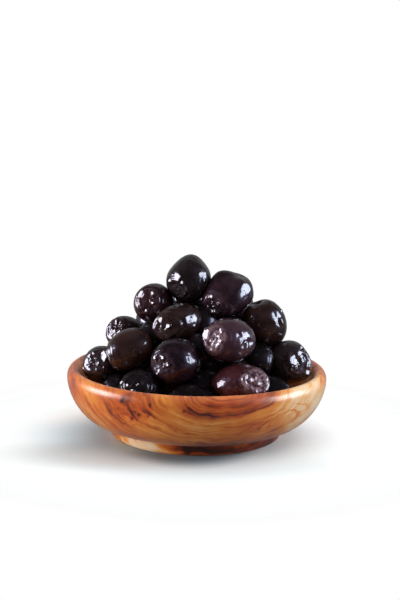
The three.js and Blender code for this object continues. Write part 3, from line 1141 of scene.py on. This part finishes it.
# Softboxes: azimuth from +Y towards +X and elevation in degrees, width and height in metres,
# power, tint, and whether it shows in gloss and lights matt surfaces. The one at the right is
# three panels with gaps between.
SOFTBOX_DISTANCE = 0.95
SOFTBOXES = {
    "softbox_left": (-92, 10, (0.50, 0.44), 9.5, (1.0, 0.97, 0.98), True, False),
    "low_left": (-96, 3, (0.60, 0.12), 8.5, (1.0, 0.98, 0.97), False, True),
    "softbox_right_1": (80, 13, (0.16, 0.50), 3.2, (0.84, 0.92, 1.0), True, False),
    "softbox_right_2": (92, 13, (0.16, 0.50), 3.2, (0.84, 0.92, 1.0), True, True),
    "softbox_right_3": (104, 13, (0.16, 0.50), 3.2, (0.84, 0.92, 1.0), True, False),
}

# What the room sends: a direction, how far along it the light starts and is full, and the radiance
# at both. To matt surfaces it sends a fill from above and the right, and to glossy ones little but
# for a dim backdrop.
FILL_FROM = (0.50, 0.40, 0.77)
FILL = (0.0, 1.0, 0.40, 1.75)
BACKDROP_FROM = (0, 1, 0)
BACKDROP = (0.3, 0.9, 0.03, 0.25)

# What the softboxes aim at, and the camera: its place in metres, pitch and roll in degrees, focal
# length and frame in pixels, how far the bowl's axis lies left of the frame's middle, and the
# sensor in millimetres.
AIM = (0, 0, 0.04)
CAMERA_PLACE = (0, -0.6, 0.17)
CAMERA_PITCH = 10.12
CAMERA_ROLL = 1.1
FOCAL_PIXELS = 1324
FRAME_WIDTH = 400
FRAME_HEIGHT = 600
AXIS_LEFT_OF_MIDDLE = 1.8
SENSOR = 36


def softbox_place(azimuth, elevation):
    return Vector(AIM) + direction(90 - azimuth, elevation) * SOFTBOX_DISTANCE


def add_softbox(name, azimuth, elevation, sides, power, tint, in_gloss, on_matt):
    light = bpy.data.lights.new(name, "AREA")
    light.shape = "RECTANGLE"
    light.size, light.size_y = sides
    light.energy = power
    light.color = tint
    made = bpy.data.objects.new(name, light)
    made.location = softbox_place(azimuth, elevation)
    made.rotation_euler = direction(90 - azimuth, elevation).to_track_quat("Z", "Y").to_euler()
    made.visible_camera = False
    made.visible_glossy = in_gloss
    made.visible_diffuse = on_matt
    bpy.context.scene.collection.objects.link(made)


def make_world():
    """White behind the dish for the camera, and for the light a dim room with a pale backdrop."""
    world = bpy.data.worlds.new("studio")
    bpy.context.scene.world = world
    world.use_nodes = True
    nodes, links = world.node_tree.nodes, world.node_tree.links
    toward = nodes.new("ShaderNodeTexCoord")
    path = nodes.new("ShaderNodeLightPath")

    def graded(source, limits):
        part = nodes.new("ShaderNodeVectorMath")
        part.operation = "DOT_PRODUCT"
        links.new(toward.outputs["Generated"], part.inputs[0])
        part.inputs[1].default_value = source
        node = nodes.new("ShaderNodeMapRange")
        node.interpolation_type = "SMOOTHSTEP"
        links.new(part.outputs["Value"], node.inputs["Value"])
        for name, value in zip(("From Min", "From Max", "To Min", "To Max"), limits):
            node.inputs[name].default_value = value
        return node.outputs[0]

    def chosen(ray, otherwise):
        node = nodes.new("ShaderNodeMix")
        links.new(path.outputs[ray], node.inputs[0])
        links.new(otherwise, node.inputs[2])
        return node

    matt = chosen("Is Diffuse Ray", graded(BACKDROP_FROM, BACKDROP))
    links.new(graded(FILL_FROM, FILL), matt.inputs[3])
    camera = chosen("Is Camera Ray", matt.outputs[0])
    camera.inputs[3].default_value = 1.0
    room = nodes["Background"]
    room.inputs["Color"].default_value = (1, 1, 1, 1)
    links.new(camera.outputs[0], room.inputs["Strength"])


def make_floor():
    half = FLOOR_HALF / MM
    corners = [(-half, -half, 0), (half, -half, 0), (half, half, 0), (-half, half, 0)]
    floor = make_object("floor", corners, [(0, 1, 2, 3)], floor_white())


def camera_rotation():
    yaw = Matrix.Rotation(-AXIS_LEFT_OF_MIDDLE / FOCAL_PIXELS, 3, "Z")
    pitch = Matrix.Rotation(math.radians(90 - CAMERA_PITCH), 3, "X")
    roll = Matrix.Rotation(math.radians(CAMERA_ROLL), 3, "Z")
    return yaw @ pitch @ roll


def make_camera():
    data = bpy.data.cameras.new("camera")
    data.sensor_width = SENSOR
    data.lens = FOCAL_PIXELS / FRAME_HEIGHT * SENSOR
    camera = bpy.data.objects.new("camera", data)
    camera.rotation_euler = camera_rotation().to_euler()
    camera.location = CAMERA_PLACE
    bpy.context.scene.collection.objects.link(camera)
    bpy.context.scene.camera = camera


# ---- The dish ----

make_camera()
make_world()
make_floor()
for name, settings in SOFTBOXES.items():
    add_softbox(name, *settings)
bpy.context.scene.view_settings.view_transform = "Standard"

bowl = make_bowl(olive_wood())
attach(bowl, "root")
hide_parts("bowl")

skins = {kind: olive_skin(kind) for kind in SKINS}
heap = make_outer_olives(skins)
heap.append(make_within_olives(skins["deep"]))
heap.append(make_core(core_painted_shade()))
for piece in heap:
    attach(piece, "root")
    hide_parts("olives")
